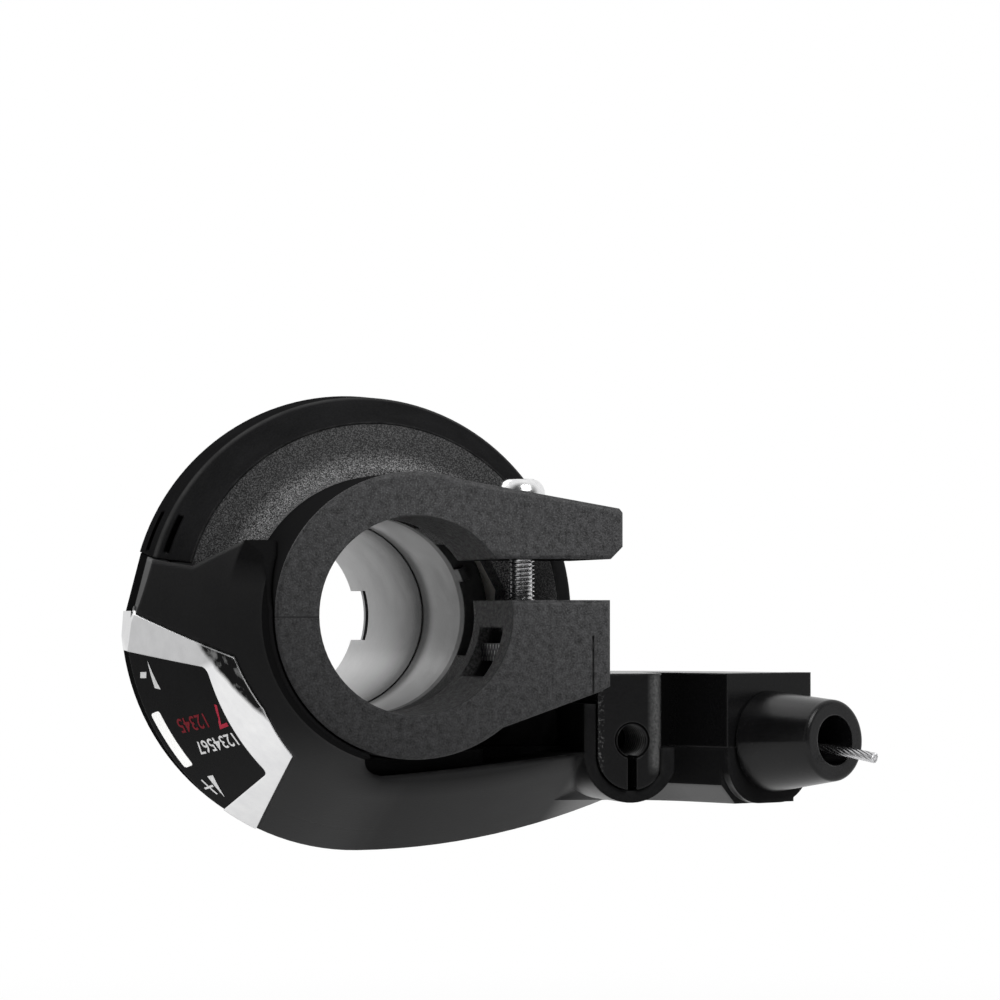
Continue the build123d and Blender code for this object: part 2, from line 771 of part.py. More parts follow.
def housing_room():
    """Room that the cover leaves for the clamp, the base flange and the drum."""
    band = clamp_outer_radius + cover_clamp_clearance
    seat = flange_edge_radius + cover_flange_clearance
    fillet_start = relief_back - fillet_reach - cover_flange_clearance
    fillet_end = relief_back + fillet_reach * sin(flange_tilt) - cover_flange_clearance
    return turned([(0, -overcut), (band, -overcut), (band, fillet_start),
                   (clamp_outer_radius + fillet_reach * cos(flange_tilt), fillet_end),
                   (seat, flange_edge_y - cover_flange_clearance), (seat, flange_back),
                   (chamber_radius, flange_back), (chamber_radius, disc_back), (0, disc_back)])


def jaw_recess():
    """Hollow under the lower jaw that leaves it free to close, deeper behind a rounded post."""
    reach = boss_x + boss_half_width
    rise = (reach - jaw_recess_left) * tan(radians(jaw_recess_angle))
    outline = Polygon((jaw_recess_left, jaw_recess_floor), (reach, jaw_recess_floor + rise), (reach, 0),
                      (jaw_recess_left, 0), align=None)
    outline = fillet(outline.vertices().sort_by(Axis.Y)[:1], jaw_recess_corner)
    plan = Polygon((jaw_recess_left, -overcut), (reach, -overcut), (reach, relief_back),
                   (recess_shelf_x, relief_back), (recess_shelf_x, recess_shelf_y),
                   (jaw_recess_left, recess_shelf_y), align=None)
    post = plan.vertices().sort_by_distance((recess_shelf_x, recess_shelf_y))[:1]
    plan = fillet(post, recess_post_round)
    return prism(outline, -overcut, relief_back) & slab(plan, -clear_reach, 0)


def display_plane():
    """Plane on the cover's cone under the display: x toward the rim, z outward."""
    slope = atan(cover_slope)
    outward = polar(1, display_angle, 0)
    radius = cover_front_radius + (display_y - cover_front_y) * cover_slope
    up_cone = outward * sin(slope) + Vector(0, cos(slope), 0)
    normal = outward * cos(slope) - Vector(0, sin(slope), 0)
    return Plane(polar(radius, display_angle, display_y), x_dir=up_cone, z_dir=normal)


def display_prism(sketch):
    """Sketch on the display's plane, run through the cover's wall and ended at its rim."""
    block = extrude(display_plane() * sketch, amount=cover_rim_radius / 2, both=True)
    return block & prism(Rectangle(clear_reach, clear_reach), 0, cover_rim_y)


def flared(front, slant, half_width, top_angle, low_angle, bulge=0.0):
    """Outline that widens toward the cover's rim, with a slanted front that can bulge in its middle."""
    top = half_width + (bezel_back - front + slant) * tan(radians(top_angle))
    low = half_width + (bezel_back - front - slant) * tan(radians(low_angle))
    middle = [(front - bulge, 0)] if bulge else []
    return Polygon((front - slant, -half_width), (bezel_back, -top), (bezel_back, low),
                   (front + slant, half_width), *middle, align=None)


def bezel_outline():
    return flared(bezel_front, bezel_slant, bezel_half_width, bezel_top_angle, bezel_low_angle, bezel_bulge)


def panel_outline():
    shape = flared(panel_front, panel_slant, panel_half_width, panel_top_angle, panel_low_angle)
    shape = Pos(0, panel_shift) * shape
    return fillet(shape.vertices().sort_by(Axis.X)[:2], panel_corner)


def window_outline():
    shape = Pos(window_front + window_width / 2, window_offset) * Rectangle(window_width, window_length)
    return fillet(shape.vertices(), window_corner)


def make_display_cover():
    """Lower cover with the display pocket, the belly and the lower half of the cable arm."""
    shell = cover_form() + cover_belly() - above_cover()
    shell += (arm_beam() + end_block()) & under_wire()
    shell -= housing_room()
    shell -= jaw_recess()
    shell += boss_lip()
    shell -= boss(cover_boss_gap)
    shell -= cable_tunnel()
    shell -= nose_spigot(liner_clearance)
    pocket = cover_form(2 * display_depth) - cover_form(-display_depth)
    shell -= pocket & display_prism(bezel_outline())
    return shell - display_prism(window_outline())


def make_chrome_bezel():
    """Bright flared frame round the display."""
    layer = cover_form(bezel_proud) - cover_form(-display_depth)
    return (layer & display_prism(bezel_outline())) - display_prism(panel_outline())


def make_display_panel():
    """Black display plate inside the bezel, with the window slot."""
    layer = cover_form() - cover_form(-display_depth)
    return (layer & display_prism(panel_outline())) - display_prism(window_outline())


def make_display_lens():
    """Milky lens in the window slot."""
    layer = cover_form() - cover_form(-display_depth)
    return layer & display_prism(window_outline())


def make_clamp_bolt():
    """Pan-head bolt with a hexagon socket."""
    head = upright(bolt_head_radius, bolt_x, bolt_y, bolt_head_seat, bolt_head_seat + bolt_head_height)
    head = fillet(head.edges().sort_by(Axis.Z)[-1], bolt_head_round)
    socket = Pos(bolt_x, bolt_y, bolt_head_seat + bolt_head_height) * \
        extrude(RegularPolygon(hex_across_flats / 2, 6, major_radius=False), amount=-hex_depth)
    return head + upright(bolt_radius, bolt_x, bolt_y, bolt_tip, bolt_head_seat) - socket


def make_clamp_nut():
    """Nut plate held in the lower jaw."""
    plate = Pos(bolt_x, bolt_y, nut_top - nut_thickness / 2) * Box(nut_width, nut_length, nut_thickness)
    return plate - upright(bolt_radius + nut_clearance, bolt_x, bolt_y, bolt_tip, bolt_head_seat)


def make_detent_spring():
    """Leaf spring with a bump that drops into the detent notches."""
    inner = detent_radius + spring_rest_gap
    outer = inner + spring_thickness
    tip = detent_radius - detent_notch_radius + spring_tip_gap
    length = spring_half_length
    bump = spring_bump_half
    line = [(-length, inner), (-bump, inner), (0, tip), (bump, inner), (length, inner), (length, outer),
            (bump, outer), (0, tip + spring_thickness * hypot(1, (inner - tip) / bump)), (-bump, outer),
            (-length, outer)]
    corners = [spring_point(along, out) for along, out in line]
    return prism(Polygon(*[(c.X, c.Z) for c in corners], align=None), detent_front, detent_back)


def liner_start():
    """Where the wire leaves the drum chamber, set back a little into the arm."""
    return (chamber_radius ** 2 - wire_wrap_radius ** 2) ** 0.5 + liner_set_back


def make_cable_liner():
    """Curved low-friction liner that carries the wire round the arm's bend."""
    route = cable_route(liner_start(), face_point(-nose_spigot_length - liner_end_gap))
    return round_bar(route, liner_radius) - round_bar(route, liner_bore_radius)


def make_cable_nose():
    """Tapered spout that takes the cable casing's end."""
    cone = Solid.make_cone(nose_base_radius, nose_tip_radius, nose_length, nose_plane())
    cone = fillet(cone.edges().filter_by(GeomType.CIRCLE).sort_by(SortBy.RADIUS)[0], nose_edge)
    tip = nose_plane().offset(nose_length)
    hole = extrude(tip * Circle(nose_hole_radius), amount=-nose_hole_depth)
    through = extrude(tip * Circle(nose_through_radius), amount=-nose_length - nose_spigot_length - overcut)
    return cone + nose_spigot() - hole - through


def wire_points():
    """Corners of the wire's route after it leaves the drum."""
    lift_off = polar(wire_wrap_radius, -90, wire_plane_y)
    mouth = face_point(nose_length) + nose_side * wire_mouth_shift
    ahead = Vector(cos(radians(wire_stub_angle)), sin(radians(wire_stub_angle)), -wire_droop_ratio)
    return [lift_off, arm_corner(), face_point(), mouth, mouth + ahead * wire_stub]


def make_inner_wire():
    """Steel wire from the nipple round the drum, through the arm and out of the nose."""
    gap = nipple_clearance / wire_wrap_radius * 180 / pi
    begin = nipple_angle + gap
    points = wire_points()
    wrap = ThreePointArc(polar(wire_wrap_radius, begin, wire_plane_y),
                         polar(wire_wrap_radius, (begin - 90) / 2, wire_plane_y), points[0])
    return round_bar([wrap] + rounded_path(points, [bend_radius] * (len(points) - 2)), wire_radius)


NODES = {
    "clamp_bracket": make_clamp_bracket,
    "bearing_sleeve": make_bearing_sleeve,
    "drum_shroud": make_drum_shroud,
    "display_cover": make_display_cover,
    "chrome_bezel": make_chrome_bezel,
    "display_panel": make_display_panel,
    "display_lens": make_display_lens,
    "clamp_bolt": make_clamp_bolt,
    "clamp_nut": make_clamp_nut,
    "detent_spring": make_detent_spring,
    "thrust_washer": make_thrust_washer,
    "end_washer": make_end_washer,
    "retaining_ring": make_retaining_ring,
    "cable_liner": make_cable_liner,
    "cable_nose": make_cable_nose,
    "inner_wire": make_inner_wire,
    "grip_core": make_grip_core,
    "grip_rubber": make_grip_rubber,
    "cable_nipple": make_cable_nipple,
    "indicator_band": make_indicator_band,
}

os.makedirs("parts", exist_ok=True)
for name, make in NODES.items():
    export_step(make(), f"parts/{name}.step")
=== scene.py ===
# Looks of the twist grip shifter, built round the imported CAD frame.
import math

import bmesh
import bpy
from mathutils import Matrix, Vector


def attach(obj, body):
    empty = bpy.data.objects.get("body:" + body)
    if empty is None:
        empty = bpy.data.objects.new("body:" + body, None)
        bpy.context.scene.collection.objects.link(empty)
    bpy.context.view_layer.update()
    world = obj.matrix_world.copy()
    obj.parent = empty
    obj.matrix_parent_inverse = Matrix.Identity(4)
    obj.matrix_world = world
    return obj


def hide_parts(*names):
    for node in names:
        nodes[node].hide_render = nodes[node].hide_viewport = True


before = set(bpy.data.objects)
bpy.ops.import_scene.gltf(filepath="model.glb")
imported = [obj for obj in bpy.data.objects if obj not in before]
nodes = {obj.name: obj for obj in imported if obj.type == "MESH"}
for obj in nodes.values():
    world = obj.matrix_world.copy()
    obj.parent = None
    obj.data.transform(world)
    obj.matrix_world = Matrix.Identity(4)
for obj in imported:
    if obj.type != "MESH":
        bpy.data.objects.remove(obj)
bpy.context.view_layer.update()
scene = bpy.context.scene
scene.view_settings.view_transform = "Standard"
MM = 0.001

# Sizes repeated from the CAD model, in millimetres
bolt_x, bolt_y, bolt_seat, bolt_tip = 14.6, 9.0, 12.7, -6.6
bolt_radius, bolt_head_radius, bolt_head_height, bolt_pitch = 1.5, 2.75, 2.9, 0.5
hex_flats, hex_depth = 2.5, 1.6
port_x, port_front, port_z, port_radius, port_depth, port_pitch = 27.6, 8.0, -14.4, 2.1, 9.0, 0.8
slit_width, slit_depth = 1.1, 4.0
cone_front_y, cone_front_radius, cone_rim_y, cone_rim_radius = 3.6, 16.95, 28.7, 27.76
rim_back_y, rim_back_radius, rim_flat_angle, rim_flat_reach, crease_y = 33.9, 27.4, 176.0, 27.06, 26.7
display_angle, display_y = -146.1, 18.0
wire_radius = 0.6
wire_route = [(-5.63, 26.95, -14.22), (-2.9, 26.95, -15.3), (2.8, 26.95, -15.3), (12.02, 26.95, -15.3),
              (36.32, 26.95, -15.3), (44.83, 9.5, -15.3), (49.93, 0.64, -15.3), (53.14, -3.19, -16.3)]

# Places where the tone of a piece changes, in millimetres
# bezel_end is the height where the painted shade on the bezel's end wall begins
arm_edge, clamp_sides, bore_edge, bezel_end = (22.8, 23.0), (0.5, 15.95), (12.2, 12.6), (0.5, 0.58)
# Where the painted shade at the shroud's snap slots lies along the axis
snap_slots = [(24.4, 25.5), (29.8, 31.4)]

# Stretches round the handlebar's axis, in degrees: the painted shade at the snap slots, and the plating over
# the cover's rim
snap_slot_from, snap_slot_to = 152.0, 163.0
plating_top, plating_low = (178.9, 188.6), (234.7, 244.0)

# Print on the display: how far marks and digits stand off the cone in millimetres, and the digits' slant
print_lift, digit_lift, digit_slant = 0.045, 0.035, 0.1


# Camera, light and floor

def make_camera():
    """Camera fitted to the photograph: focal length and origin in pixels, depth in millimetres."""
    yaw, pitch = math.radians(15.43), math.radians(1.69)
    right = Vector((math.cos(yaw), -math.sin(yaw), 0))
    look = Vector((math.sin(yaw) * math.cos(pitch), math.cos(yaw) * math.cos(pitch), math.sin(pitch)))
    up = right.cross(look)
    picture, focal, depth = 1000, 3948.0, 440.0
    origin_x, origin_y = 417.1, 615.3
    across, down = (origin_x - picture / 2) / focal * depth, (origin_y - picture / 2) / focal * depth
    place = (right * -across + up * down - look * depth) * MM
    data = bpy.data.cameras.new("camera")
    data.lens = focal / picture * data.sensor_width
    data.clip_start, data.clip_end = 0.01, 50
    camera = bpy.data.objects.new("camera", data)
    scene.collection.objects.link(camera)
    turn = Matrix((right, up, -look)).transposed().to_4x4()
    camera.matrix_world = Matrix.Translation(place) @ turn
    scene.camera = camera


def link(tree, a, b):
    tree.links.new(a, b)


def math_node(tree, kind, a, b=None):
    node = tree.nodes.new("ShaderNodeMath")
    node.operation = kind
    for i, value in enumerate((a, b)):
        if value is None:
            continue
        if isinstance(value, (int, float)):
            node.inputs[i].default_value = value
        else:
            link(tree, value, node.inputs[i])
    return node.outputs[0]


def ramp(tree, value, low, high, to_low=0.0, to_high=1.0, smooth=False):
    node = tree.nodes.new("ShaderNodeMapRange")
    node.interpolation_type = "SMOOTHSTEP" if smooth else "LINEAR"
    link(tree, value, node.inputs["Value"])
    node.inputs["From Min"].default_value = low
    node.inputs["From Max"].default_value = high
    node.inputs["To Min"].default_value = to_low
    node.inputs["To Max"].default_value = to_high
    return node.outputs["Result"]


def fade(tree, value, low, high, to_low=0.0, to_high=1.0, smooth=False):
    """Ramp between two places in millimetres."""
    return ramp(tree, value, low * MM, high * MM, to_low, to_high, smooth)


def either(tree, first, second):
    return math_node(tree, "MAXIMUM", first, second)


def without(tree, mask):
    return math_node(tree, "SUBTRACT", 1.0, mask)


def times(tree, first, *others):
    for value in others:
        first = math_node(tree, "MULTIPLY", first, value)
    return first


def weighted(tree, first, first_weight, second, second_weight):
    return math_node(tree, "ADD", times(tree, first, first_weight), times(tree, second, second_weight))


def seen_rays(tree):
    """1 for rays that show the backdrop: from the camera, off gloss or through glass."""
    path = tree.nodes.new("ShaderNodeLightPath")
    most = either(tree, path.outputs["Is Camera Ray"], path.outputs["Is Glossy Ray"])
    return either(tree, most, path.outputs["Is Transmission Ray"]), path


def make_world():
    """White backdrop all round, darker only on the side of the room behind the camera as gloss shows it."""
    dark_side, dark_level, ambient_level = (-0.12, -0.98, 0.12), 0.06, 0.38
    world = bpy.data.worlds.new("studio")
    scene.world = world
    world.use_nodes = True
    tree = world.node_tree
    back = tree.nodes["Background"]
    back.inputs["Color"].default_value = (1, 1, 1, 1)
    seen, path = seen_rays(tree)
    where = tree.nodes.new("ShaderNodeTexCoord")
    dot = tree.nodes.new("ShaderNodeVectorMath")
    dot.operation = "DOT_PRODUCT"
    link(tree, where.outputs["Generated"], dot.inputs[0])
    dot.inputs[1].default_value = dark_side
    room = ramp(tree, dot.outputs["Value"], 0.0, 0.7, 1.0, dark_level, smooth=True)
    white = either(tree, room, path.outputs["Is Camera Ray"])
    ambient = tree.nodes.new("ShaderNodeMix")
    ambient.data_type = "FLOAT"
    link(tree, seen, ambient.inputs["Factor"])
    ambient.inputs[2].default_value = ambient_level
    link(tree, white, ambient.inputs[3])
    link(tree, ambient.outputs[0], back.inputs["Strength"])


def make_floor():
    """Pale floor well below the part, fading into the white backdrop away from it."""
    size, level, tone = 6.0, -0.075, 0.92
    fade_from, fade_to, glow_near = 0.12, 0.42, 0.45
    mesh = bpy.data.meshes.new("floor")
    corners = [(-size, -size, level), (size, -size, level), (size, size, level), (-size, size, level)]
    mesh.from_pydata(corners, [], [(0, 1, 2, 3)])
    floor = bpy.data.objects.new("floor", mesh)
    scene.collection.objects.link(floor)
    mat = bpy.data.materials.new("floor_white")
    mat.use_nodes = True
    tree = mat.node_tree
    tree.nodes.remove(tree.nodes["Principled BSDF"])
    diffuse = tree.nodes.new("ShaderNodeBsdfDiffuse")
    diffuse.inputs["Color"].default_value = (tone, tone, tone, 1)
    glow = tree.nodes.new("ShaderNodeEmission")
    seen, _ = seen_rays(tree)
    where = tree.nodes.new("ShaderNodeTexCoord")
    far = tree.nodes.new("ShaderNodeVectorMath")
    far.operation = "LENGTH"
    link(tree, where.outputs["Object"], far.inputs[0])
    edge = ramp(tree, far.outputs["Value"], fade_from, fade_to, glow_near, 1.0, smooth=True)
    mix = tree.nodes.new("ShaderNodeMixShader")
    link(tree, times(tree, edge, seen), mix.inputs[0])
    link(tree, diffuse.outputs[0], mix.inputs[1])
    link(tree, glow.outputs[0], mix.inputs[2])
    link(tree, mix.outputs[0], tree.nodes["Material Output"].inputs["Surface"])
    mesh.materials.append(mat)


def make_lamp(name, place, size, power):
    """Lamp that faces the middle of the part, placed in metres."""
    target = Vector((0.01, 0.02, -0.003))
    data = bpy.data.lights.new(name, "AREA")
    data.shape = "RECTANGLE"
    data.size, data.size_y = size
    data.energy = power
    lamp = bpy.data.objects.new(name, data)
    lamp.location = place
    lamp.rotation_euler = (target - Vector(place)).to_track_quat("-Z", "Y").to_euler()
    scene.collection.objects.link(lamp)


make_camera()
make_world()
make_floor()
make_lamp("key", place=(0.14, -0.5, 0.5), size=(0.4, 0.35), power=4.6)
make_lamp("back", place=(-0.3, 0.6, 0.4), size=(0.5, 0.5), power=2.0)


# Places on the display

def on_cone(u, v, lift):
    """Point on the cover's cone: u runs up the cone from the display's middle, v round it."""
    slope = (cone_rim_radius - cone_front_radius) / (cone_rim_y - cone_front_y)
    tilt = math.atan(slope)
    y = display_y + u * math.cos(tilt)
    radius = cone_front_radius + (y - cone_front_y) * slope
    angle = math.radians(display_angle) + v / radius
    out = Vector((math.cos(angle) * math.cos(tilt), -math.sin(tilt), math.sin(angle) * math.cos(tilt)))
    return Vector((radius * math.cos(angle), y, radius * math.sin(angle))) + out * lift


def display_axes():
    """Unit vectors at the display's middle: up the cone and round it."""
    along = on_cone(1, 0, 0) - on_cone(0, 0, 0)
    across = on_cone(0, 0.01, 0) - on_cone(0, -0.01, 0)
    return along.normalized(), across.normalized()


# Materials

def grey(level, blue=None):
    """Grey, or a cool or warm grey with a blue of its own."""
    return level, level, level if blue is None else blue


def start_material(name):
    mat = bpy.data.materials.new(name)
    mat.use_nodes = True
    tree = mat.node_tree
    where = tree.nodes.new("ShaderNodeTexCoord").outputs["Object"]
    return mat, tree, tree.nodes["Principled BSDF"], where


def noise(tree, where, size_mm, detail=3.0, rough=0.55, stretch=None):
    """Noise with features of about the given size."""
    if stretch:
        mapping = tree.nodes.new("ShaderNodeMapping")
        mapping.inputs["Scale"].default_value = stretch
        link(tree, where, mapping.inputs["Vector"])
        where = mapping.outputs["Vector"]
    node = tree.nodes.new("ShaderNodeTexNoise")
    node.inputs["Scale"].default_value = 1 / (size_mm * MM)
    node.inputs["Detail"].default_value = detail
    node.inputs["Roughness"].default_value = rough
    link(tree, where, node.inputs["Vector"])
    return node.outputs["Fac"]


def tint(tree, factor, first, second):
    node = tree.nodes.new("ShaderNodeMix")
    node.data_type = "RGBA"
    link(tree, factor, node.inputs["Factor"])
    for socket, colour in ((node.inputs[6], first), (node.inputs[7], second)):
        if isinstance(colour, tuple):
            socket.default_value = (*colour, 1)
        else:
            link(tree, colour, socket)
    return node.outputs[2]


def soft_edges(tree, radius_mm):
    """Normal with the sharp edges rounded, and how far it leaves the true normal."""
    bevel = tree.nodes.new("ShaderNodeBevel")
    bevel.samples = 4
    bevel.inputs["Radius"].default_value = radius_mm * MM
    true = tree.nodes.new("ShaderNodeNewGeometry")
    dot = tree.nodes.new("ShaderNodeVectorMath")
    dot.operation = "DOT_PRODUCT"
    link(tree, bevel.outputs[0], dot.inputs[0])
    link(tree, true.outputs["Normal"], dot.inputs[1])
    return bevel.outputs[0], ramp(tree, dot.outputs["Value"], 0.995, 0.8)


def relief(tree, height, depth_mm, normal=None):
    node = tree.nodes.new("ShaderNodeBump")
    node.inputs["Strength"].default_value = 1.0
    node.inputs["Distance"].default_value = depth_mm * MM
    link(tree, height, node.inputs["Height"])
    if normal is not None:
        link(tree, normal, node.inputs["Normal"])
    return node.outputs["Normal"]


def moulded(name, dark, light, edge_wear_and_highlight, grain_mm, blotch_mm, rough, depth_mm, specular, edge_mm=0.2):
    """Moulded plastic or rubber: blotchy tone, fine grain in tone, gloss and relief, and paler edges that
    are part wear, part painted highlight.
    """
    mat, tree, shader, where = start_material(name)
    blotch = noise(tree, where, blotch_mm, 5.0, 0.6)
    grain = noise(tree, where, grain_mm, 2.0, 0.5)
    both = weighted(tree, blotch, 0.55, grain, 0.45)
    tone = tint(tree, ramp(tree, both, 0.36, 0.64), dark, light)
    normal, edge = soft_edges(tree, edge_mm)
    # Paler edges: part wear, part painted highlight along the edges
    worn_and_lit_edges = times(tree, edge, ramp(tree, noise(tree, where, 1.6), 0.35, 0.7))
    link(tree, tint(tree, worn_and_lit_edges, tone, edge_wear_and_highlight), shader.inputs["Base Color"])
    link(tree, ramp(tree, both, 0.3, 0.7, rough[0], rough[1]), shader.inputs["Roughness"])
    link(tree, relief(tree, grain, depth_mm, normal), shader.inputs["Normal"])
    shader.inputs["Specular IOR Level"].default_value = specular
    return mat


def metal(name, first, second, rough, grain_mm, depth_mm, stretch=None, edge_mm=0.1):
    """Metal: tone, gloss and relief follow a fine grain that can be drawn out in one direction."""
    mat, tree, shader, where = start_material(name)
    grain = noise(tree, where, grain_mm, 3.0, 0.55, stretch)
    smear = noise(tree, where, 4.0, 2.0)
    both = weighted(tree, grain, 0.5, smear, 0.5)
    link(tree, tint(tree, ramp(tree, both, 0.35, 0.65), first, second), shader.inputs["Base Color"])
    link(tree, ramp(tree, both, 0.3, 0.7, rough[0], rough[1]), shader.inputs["Roughness"])
    normal, _ = soft_edges(tree, edge_mm)
    link(tree, relief(tree, grain, depth_mm, normal), shader.inputs["Normal"])
    shader.inputs["Metallic"].default_value = 1.0
    return mat


def serrated(name):
    """Dark steel plate with crossed serrations."""
    mat, tree, shader, where = start_material(name)
    heights = []
    for turn in (0.7, -0.7):
        mapping = tree.nodes.new("ShaderNodeMapping")
        mapping.inputs["Rotation"].default_value = (turn, 0, 0)
        link(tree, where, mapping.inputs["Vector"])
        wave = tree.nodes.new("ShaderNodeTexWave")
        wave.bands_direction = "Y"
        wave.inputs["Scale"].default_value = 340
        wave.inputs["Distortion"].default_value = 0.4
        link(tree, mapping.outputs["Vector"], wave.inputs["Vector"])
        heights.append(wave.outputs["Fac"])
    height = times(tree, *heights)
    link(tree, tint(tree, height, grey(0.06, 0.065), grey(0.5)), shader.inputs["Base Color"])
    link(tree, ramp(tree, height, 0.0, 1.0, 0.5, 0.25), shader.inputs["Roughness"])
    link(tree, relief(tree, height, 0.25), shader.inputs["Normal"])
    shader.inputs["Metallic"].default_value = 0.9
    return mat


def place_of(tree, where):
    split = tree.nodes.new("ShaderNodeSeparateXYZ")
    link(tree, where, split.inputs[0])
    return split.outputs


def facing_of(tree):
    """The surface's normal by axis."""
    return place_of(tree, tree.nodes.new("ShaderNodeNewGeometry").outputs["Normal"])


def radius_from(tree, at, x=0.0, z=0.0):
    """Distance of a place from a line along Y."""
    flat = tree.nodes.new("ShaderNodeCombineXYZ")
    link(tree, math_node(tree, "SUBTRACT", at["X"], x * MM), flat.inputs["X"])
    link(tree, math_node(tree, "SUBTRACT", at["Z"], z * MM), flat.inputs["Z"])
    away = tree.nodes.new("ShaderNodeVectorMath")
    away.operation = "LENGTH"
    link(tree, flat.outputs[0], away.inputs[0])
    return away.outputs["Value"]


def blend(tree, shader, mask, socket, value):
    """Mix another value into a socket of the shader where the mask is 1."""
    colour = socket == "Base Color"
    mix = tree.nodes.new("ShaderNodeMix")
    mix.data_type = "RGBA" if colour else "FLOAT"
    first, second, out = (6, 7, 2) if colour else (2, 3, 0)
    link(tree, mask, mix.inputs["Factor"])
    target = shader.inputs[socket]
    if target.is_linked:
        link(tree, target.links[0].from_socket, mix.inputs[first])
    else:
        mix.inputs[first].default_value = target.default_value
    if isinstance(value, (int, float)):
        mix.inputs[second].default_value = value
    else:
        link(tree, value, mix.inputs[second])
    link(tree, mix.outputs[out], target)


def band(tree, value, low, high, soft=0.1):
    """1 where a place in millimetres lies between two limits, fading over their soft edges."""
    rise = fade(tree, value, low - soft, low + soft)
    fall = fade(tree, value, high - soft, high + soft, 1.0, 0.0)
    return times(tree, rise, fall)


def paint(tree, shader, mask, grain, dark, light):
    """Lay another tone on the piece where the mask is 1, mottled by a grain."""
    blend(tree, shader, mask, "Base Color", tint(tree, grain, dark, light))


def parts_of(mat):
    """A material's tree and shader, and the place on the piece as a vector and by axis."""
    tree = mat.node_tree
    where = tree.nodes.new("ShaderNodeTexCoord").outputs["Object"]
    return tree, tree.nodes["Principled BSDF"], where, place_of(tree, where)


def bracket(name):
    """Bracket moulding: spark-grained on the clamp's face and the flange, smooth and dark elsewhere, with
    painted shade on the face and under the clamp, painted light at the flange's root and a painted highlight
    on the boss's right edge.
    """
    mat = moulded(name, grey(0.004, 0.0043), grey(0.050, 0.052), grey(0.08), grain_mm=0.22, blotch_mm=0.8,
                  rough=(0.46, 0.66), depth_mm=0.085, specular=0.3, edge_mm=0.35)
    tree, shader, where, at = parts_of(mat)
    arm = fade(tree, at["X"], *arm_edge)
    body = without(tree, arm)
    arm = times(tree, arm, fade(tree, at["Z"], -4.8, -5.2))
    radius = radius_from(tree, at)
    side = times(tree, band(tree, at["Y"], *clamp_sides), fade(tree, radius, *bore_edge))
    face = fade(tree, at["Y"], 0.45, 0.6, 1.0, 0.0)
    flange = times(tree, fade(tree, at["Y"], 15.8, 16.1), body)
    # Flange below the clamp, where painted shade goes
    under = times(tree, flange, fade(tree, at["Z"], -5.0, -8.0))

    specks = ramp(tree, noise(tree, where, 0.2, 1.0), 0.6, 0.72)
    height = fade(tree, at["Z"], -16, 16, 0.0, 0.5)
    pale = tint(tree, noise(tree, where, 0.5), grey(0.07), grey(0.11))
    blend(tree, shader, times(tree, specks, math_node(tree, "ADD", height, 0.15)), "Base Color", pale)
    fine = noise(tree, where, 0.3, 2.0)
    deep = tint(tree, fine, grey(0.003, 0.0032), grey(0.006, 0.0063))
    # Painted shade: the clamp's face darkened towards its lower left
    slope = weighted(tree, at["X"], 9.0, at["Z"], 14.7)
    shade = times(tree, face, ramp(tree, slope, -0.28, 0.22, 0.5, 0.0))
    blend(tree, shader, shade, "Base Color", deep)
    blend(tree, shader, shade, "Specular IOR Level", 0.02)

    # Spark grain on the flange, with painted light: paler by the clamp at its root, darker towards its outer
    # edge
    sparks = ramp(tree, noise(tree, where, 0.16, 2.0, 0.7), 0.44, 0.66)
    root = tint(tree, sparks, grey(0.016, 0.0165), grey(0.30, 0.302))
    outer = tint(tree, sparks, grey(0.010, 0.0103), grey(0.08, 0.081))
    flange_grain_with_painted_light = tint(tree, fade(tree, radius, 17.0, 19.6, smooth=True), root, outer)
    blend(tree, shader, flange, "Base Color", flange_grain_with_painted_light)
    # Painted shade: the flange darkened below the clamp
    blend(tree, shader, under, "Base Color", deep)
    blend(tree, shader, flange, "Specular IOR Level", 0.12)

    parting_z = -0.2
    line = math_node(tree, "ABSOLUTE", math_node(tree, "SUBTRACT", at["Z"], parting_z * MM))
    parting = times(tree, fade(tree, line, 0.05, 0.13, 1.0, 0.0), fade(tree, at["X"], -10.9, -11.0))
    _, edge = soft_edges(tree, 0.3)
    # Smooth parts paler along their edges: part wear, part painted highlight
    plain = tint(tree, fine, grey(0.009, 0.0093), grey(0.015, 0.0154))
    plain = tint(tree, times(tree, edge, 0.5), plain, grey(0.04))
    bore = times(tree, band(tree, at["Y"], *clamp_sides), fade(tree, radius, *bore_edge, 1.0, 0.0))
    scratch = ramp(tree, noise(tree, where, 0.35, 4.0, 0.65, (1.0, 0.35, 1.0)), 0.4, 0.68)
    paint(tree, shader, bore, scratch, grey(0.014, 0.0145), grey(0.08, 0.081))
    smooth = either(tree, either(tree, arm, side), parting)
    blend(tree, shader, smooth, "Base Color", plain)
    blend(tree, shader, times(tree, arm, without(tree, edge)), "Base Color", deep)
    blend(tree, shader, smooth, "Roughness", ramp(tree, fine, 0.3, 0.7, 0.2, 0.26))
    blend(tree, shader, times(tree, side, body), "Specular IOR Level", 0.0)
    blend(tree, shader, arm, "Specular IOR Level", 0.12)

    # Painted highlight down the boss's rounded right edge, and moulding flash along its left edge
    boss_edge_highlight = ramp(tree, noise(tree, where, 0.4, 4.0, 0.7), 0.3, 0.62, 0.35, 1.0)
    flash = ramp(tree, noise(tree, where, 0.35, 4.0, 0.7), 0.53, 0.68)
    highlight_and_flash = either(tree, times(tree, band(tree, at["X"], 30.1, 31.2, 0.7), boss_edge_highlight),
                    times(tree, band(tree, at["X"], 23.4, 24.1, 0.2), flash))
    highlight_and_flash = times(tree, highlight_and_flash, fade(tree, at["Y"], 9.6, 8.8), fade(tree, at["Z"], -18.5, -17.0),
                   fade(tree, at["Z"], -6.0, -7.5))
    paint(tree, shader, highlight_and_flash, fine, grey(0.07), grey(0.14))
    bump = shader.inputs["Normal"].links[0].from_node
    link(tree, ramp(tree, smooth, 0.0, 1.0, 1.0, 0.12), bump.inputs["Strength"])
    return mat


